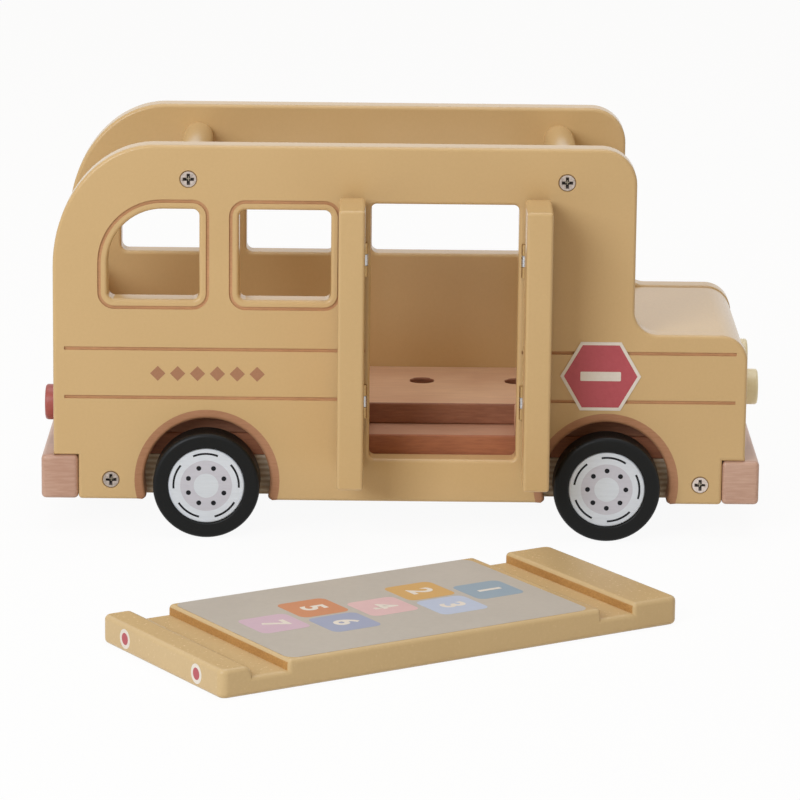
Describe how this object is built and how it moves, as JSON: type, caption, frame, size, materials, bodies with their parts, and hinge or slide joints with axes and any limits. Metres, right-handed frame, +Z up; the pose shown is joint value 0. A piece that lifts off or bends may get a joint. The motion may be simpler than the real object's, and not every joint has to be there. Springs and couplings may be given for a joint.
{
  "type": "toy bus",
  "caption": "Wooden toy bus with an open roof, routed window lines, swinging door leaves, wheels on turning axles and a loose grooved roof board that seats on the roof rails.",
  "frame": {"origin": "on the ground, midway between the axles, in the centre plane of the bus", "axes": "+X to the front of the bus, +Y to the side away from the doors, +Z up"},
  "size_m": [0.3197, 0.3942, 0.1748],
  "materials": {
    "painted_wood": "satin paint over fine wood grain",
    "beech": "bare sanded beech",
    "plywood": "bare plywood with plies on its edges",
    "steel": "bright zinc plating",
    "headlight_paint": "satin paint",
    "tail_lamp_paint": "satin paint",
    "sign_print": "printed film",
    "wheel_disc": "painted disc with a printed face",
    "tyre": "smooth matt rubber",
    "nylon": "natural nylon"
  },
  "bodies": {
    "bus_body": {"side_panel_door": "painted_wood", "side_panel_window": "painted_wood", "rear_wall": "painted_wood", "front_board": "painted_wood", "bonnet_top": "painted_wood", "roof_rail_rear": "painted_wood", "roof_rail_front": "painted_wood", "step_board": "beech", "floor_board": "beech", "rear_bumper": "beech", "front_bumper": "beech", "chassis_board": "plywood", "headlight_left": "headlight_paint", "headlight_right": "headlight_paint", "tail_lamp_left": "tail_lamp_paint", "tail_lamp_right": "tail_lamp_paint", "panel_screws": "steel", "frame_flap_screws": "steel", "sign": "sign_print", "rear_upper_frame_flap": "steel", "rear_upper_hinge_pin": "steel", "rear_lower_frame_flap": "steel", "rear_lower_hinge_pin": "steel", "front_upper_frame_flap": "steel", "front_upper_hinge_pin": "steel", "front_lower_frame_flap": "steel", "front_lower_hinge_pin": "steel"},
    "rear_door": {"rear_door_leaf": "painted_wood", "rear_door_screws": "steel", "rear_upper_door_flap": "steel", "rear_lower_door_flap": "steel"},
    "front_door": {"front_door_leaf": "painted_wood", "front_door_screws": "steel", "front_upper_door_flap": "steel", "front_lower_door_flap": "steel"},
    "rear_wheelset": {"rear_axle": "steel", "rear_left_disc": "wheel_disc", "rear_left_tyre": "tyre", "rear_left_spacer": "nylon", "rear_right_disc": "wheel_disc", "rear_right_tyre": "tyre", "rear_right_spacer": "nylon"},
    "front_wheelset": {"front_axle": "steel", "front_left_disc": "wheel_disc", "front_left_tyre": "tyre", "front_left_spacer": "nylon", "front_right_disc": "wheel_disc", "front_right_tyre": "tyre", "front_right_spacer": "nylon"},
    "roof": {"roof_board": "painted_wood"}
  },
  "joints": [
    {"name": "rear_door_hinge", "type": "hinge", "parent": "bus_body", "child": "rear_door", "pos_m": [-0.0192, -0.0626, 0.09], "axis": [0, 0, 1], "range_deg": [0, 90]},
    {"name": "front_door_hinge", "type": "hinge", "parent": "bus_body", "child": "front_door", "pos_m": [0.0508, -0.0626, 0.09], "axis": [0, 0, -1], "range_deg": [0, 90]},
    {"name": "rear_axle_turn", "type": "hinge", "parent": "bus_body", "child": "rear_wheelset", "pos_m": [-0.08875, 0, 0.02375], "axis": [0, 1, 0], "continuous": true},
    {"name": "front_axle_turn", "type": "hinge", "parent": "bus_body", "child": "front_wheelset", "pos_m": [0.08875, 0, 0.02375], "axis": [0, 1, 0], "continuous": true},
    {"name": "roof_lift", "type": "slide", "parent": "bus_body", "child": "roof", "axis": [0, 0, 1], "range_m": [0, 0.2]}
  ]
}
